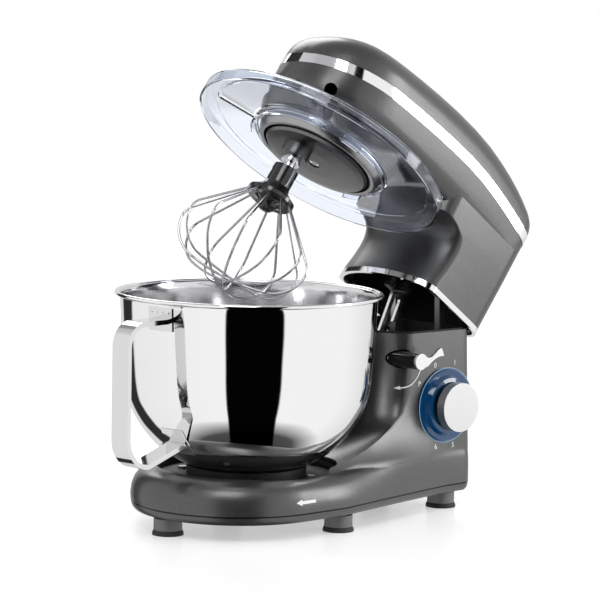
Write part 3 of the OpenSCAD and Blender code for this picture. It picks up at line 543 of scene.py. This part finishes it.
print_on("dial_marks", "base_shell", "base", joined_text(dial_words(), "dial_marks"))
lever = joint_xz("lock_lever")
print_on("lever_arrow", "base_shell", "base",
         arc_arrow(along_arc(lever[0] - 4 * MM, lever[1] - 2 * MM, 23 * MM, -8, -86), 0.9 * MM, 3.4 * MM))
bowl_x = joint_xz("bowl_twist")[0]
print_on("base_arrow", "base_shell", "base",
         arc_arrow([(bowl_x + d * MM, 32 * MM) for d in (0, -5, -10, -15)], 2.6 * MM, 5.4 * MM))


# ---------- studio ----------
# The world's dark bands stand where a photographer's black flags would, turned to the main camera's
# direction once. They are fixed in the room, so they don't follow the camera in other views.
FLAG_DARK = 0.001
FLAG_WIDE = 0.54
FLAG_NARROW = 0.21
FLAG_LOWEST = 1.95
FLAG_HIGHEST = -0.75
CEILING = (0.5, 0.5, 0.51, 1)


def at(degrees):
    """An angle round the mixer, -180 to 180, as a place on the 0..1 ramp."""
    return 0.5 + degrees / 360


def math_node(g, kind, a, b):
    n = g.node("ShaderNodeMath", operation=kind)
    for socket, value in zip(n.inputs, (a, b)):
        if isinstance(value, (int, float)):
            socket.default_value = value
        else:
            g.link(value, socket)
    return n.outputs[0]


def front_strip(g, sep):
    """1 inside the dark flag in front of the mixer, which runs on under it and narrows, else 0."""
    dip = math_node(g, "MULTIPLY", sep.outputs["Z"], -1.0)
    down = math_node(g, "ARCTAN2", dip, sep.outputs["X"])
    width = g.node("ShaderNodeMapRange")
    for key, value in (("From Min", 0.2), ("From Max", 1.8), ("To Min", FLAG_WIDE),
                       ("To Max", FLAG_NARROW)):
        width.inputs[key].default_value = value
    g.link(down, width.inputs["Value"])
    across = math_node(g, "DIVIDE", sep.outputs["Y"], width.outputs["Result"])
    shifted = math_node(g, "MULTIPLY_ADD", across, 0.25)
    shifted.node.inputs[2].default_value = 0.5
    inside = g.ramp(shifted, (0.0, 0.0), (0.342, 0.0), (0.352, 1.0), (0.745, 1.0), (0.757, 0.0))
    low_end = math_node(g, "LESS_THAN", down, FLAG_LOWEST)
    high_end = math_node(g, "GREATER_THAN", down, FLAG_HIGHEST)
    return math_node(g, "MULTIPLY", inside, math_node(g, "MULTIPLY", low_end, high_end))


def studio():
    world = bpy.data.worlds.new("studio")
    bpy.context.scene.world = world
    world.use_nodes = True
    g = Graph(world)
    out = g.node("ShaderNodeOutputWorld")
    coord = g.node("ShaderNodeTexCoord")
    sep = g.node("ShaderNodeSeparateXYZ")
    spin = g.node("ShaderNodeMapping", vector_type="POINT", Rotation=(0, 0, -math.atan2(LOOK.y, LOOK.x)))
    g.link(coord.outputs["Generated"], spin.inputs["Vector"])
    g.link(spin.outputs["Vector"], sep.inputs["Vector"])
    turn = g.node("ShaderNodeMath", operation="ARCTAN2")
    g.link(sep.outputs["Y"], turn.inputs[0])
    g.link(sep.outputs["X"], turn.inputs[1])
    share = g.node("ShaderNodeMapRange")
    share.inputs["From Min"].default_value, share.inputs["From Max"].default_value = -math.pi, math.pi
    g.link(turn.outputs[0], share.inputs["Value"])
    around = g.ramp(share.outputs["Result"], (0.0, 0.75), (at(-153), 0.75), (at(-150), 0.03),
                    (at(-129), 0.03), (at(-126), 0.9), (at(-30), 1.0), (at(100), 1.0), (at(160), 0.75))
    lift = g.ramp(g.span(sep.outputs["Z"], 0, 1), (0.0, 0.0), (0.55, 0.0), (0.8, 1.0))
    mix = g.node("ShaderNodeMix", data_type="RGBA")
    g.link(lift, mix.inputs["Factor"])
    g.link(around, mix.inputs["A"])
    mix.inputs["B"].default_value = CEILING
    strip = g.node("ShaderNodeMix", data_type="RGBA")
    g.link(front_strip(g, sep), strip.inputs["Factor"])
    g.link(mix.outputs["Result"], strip.inputs["A"])
    strip.inputs["B"].default_value = (FLAG_DARK, FLAG_DARK, FLAG_DARK, 1)
    height = g.node("ShaderNodeMapRange")
    height.inputs["From Min"].default_value = -1.0
    g.link(sep.outputs["Z"], height.inputs["Value"])
    shade = g.node("ShaderNodeMix", data_type="RGBA", blend_type="MULTIPLY")
    shade.inputs["Factor"].default_value = 1.0
    g.link(strip.outputs["Result"], shade.inputs["A"])
    g.link(g.ramp(height.outputs["Result"], (0.0, 0.05), (0.05, 0.08), (0.13, 1.0)), shade.inputs["B"])
    light = g.node("ShaderNodeBackground", Strength=0.95)
    g.link(shade.outputs["Result"], light.inputs["Color"])
    plain = g.node("ShaderNodeBackground", Color=(1, 1, 1, 1), Strength=1.0)
    path = g.node("ShaderNodeLightPath")
    both = g.node("ShaderNodeMixShader")
    g.link(path.outputs["Is Camera Ray"], both.inputs[0])
    g.link(light.outputs[0], both.inputs[1])
    g.link(plain.outputs[0], both.inputs[2])
    g.link(both.outputs[0], out.inputs["Surface"])


def area_light(name, place, aim, size, power):
    data = bpy.data.lights.new(name, "AREA")
    data.shape, data.size, data.size_y, data.energy = "RECTANGLE", *size, power
    obj = bpy.data.objects.new(name, data)
    obj.location = place
    obj.rotation_mode = "QUATERNION"
    obj.rotation_quaternion = (Vector(aim) - Vector(place)).to_track_quat("-Z", "Y")
    bpy.context.scene.collection.objects.link(obj)
    return obj


def floor():
    mesh = bpy.data.meshes.new("floor")
    bm = bmesh.new()
    bmesh.ops.create_circle(bm, cap_ends=True, radius=9, segments=96)
    bm.to_mesh(mesh)
    bm.free()
    obj = bpy.data.objects.new("floor", mesh)
    bpy.context.scene.collection.objects.link(obj)
    mat, g, s = principled("floor_white", (0.9, 0.9, 0.9), Emission_Strength=0.42, Specular_IOR_Level=0.35)
    s.inputs["Emission Color"].default_value = (1, 1, 1, 1)
    g.link(g.span(g.noise(8, 3), 0.16, 0.22), s.inputs["Roughness"])
    mesh.materials.append(mat)
    # The bowl's mirror shows the studio's walls below the horizon too, and not this floor.
    obj.visible_glossy = False


studio()
floor()
area_light("key", (-1.3, -1.0, 1.9), (0, 0, 0.2), (1.1, 1.1), 16)
area_light("side", (1.5, -1.5, 0.6), (0.08, 0, 0.15), (0.6, 1.1), 14)
area_light("back", (0.8, 1.6, 1.4), (0, 0, 0.2), (1.2, 0.9), 10)
bpy.context.scene.view_settings.view_transform = "Standard"
